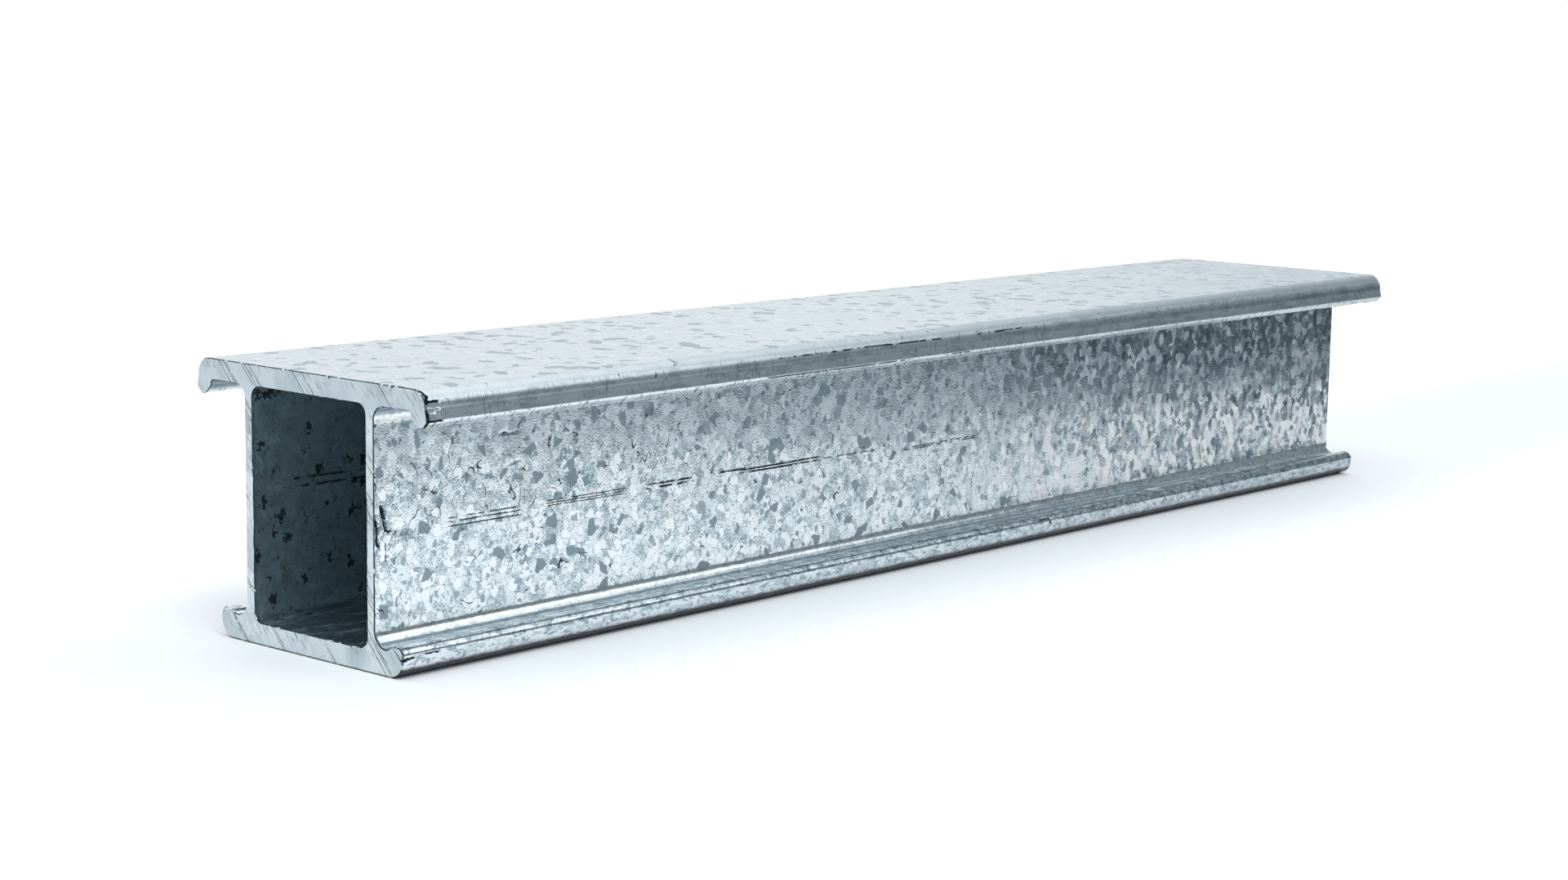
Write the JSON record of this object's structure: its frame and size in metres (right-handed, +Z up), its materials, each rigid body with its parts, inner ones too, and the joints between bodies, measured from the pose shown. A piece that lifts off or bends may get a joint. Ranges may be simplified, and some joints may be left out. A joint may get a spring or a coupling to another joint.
{
  "type": "lipped box profile",
  "caption": "Sawn length of galvanised steel box profile: a closed cavity between two webs, a wide top flange with down-turned lips, a beaded bottom flange and an open channel on each side.",
  "frame": {"origin": "on the floor under the middle of the bottom face", "axes": "+X across the profile, +Y along its length from the near sawn end to the far one, +Z up from the bottom face to the top face"},
  "size_m": [0.1236, 0.62, 0.1],
  "materials": {
    "galvanised_steel": "hot-dip galvanised, spangled, with bare saw-cut ends"
  },
  "bodies": {
    "root": {"box_profile": "galvanised_steel"}
  },
  "joints": []
}
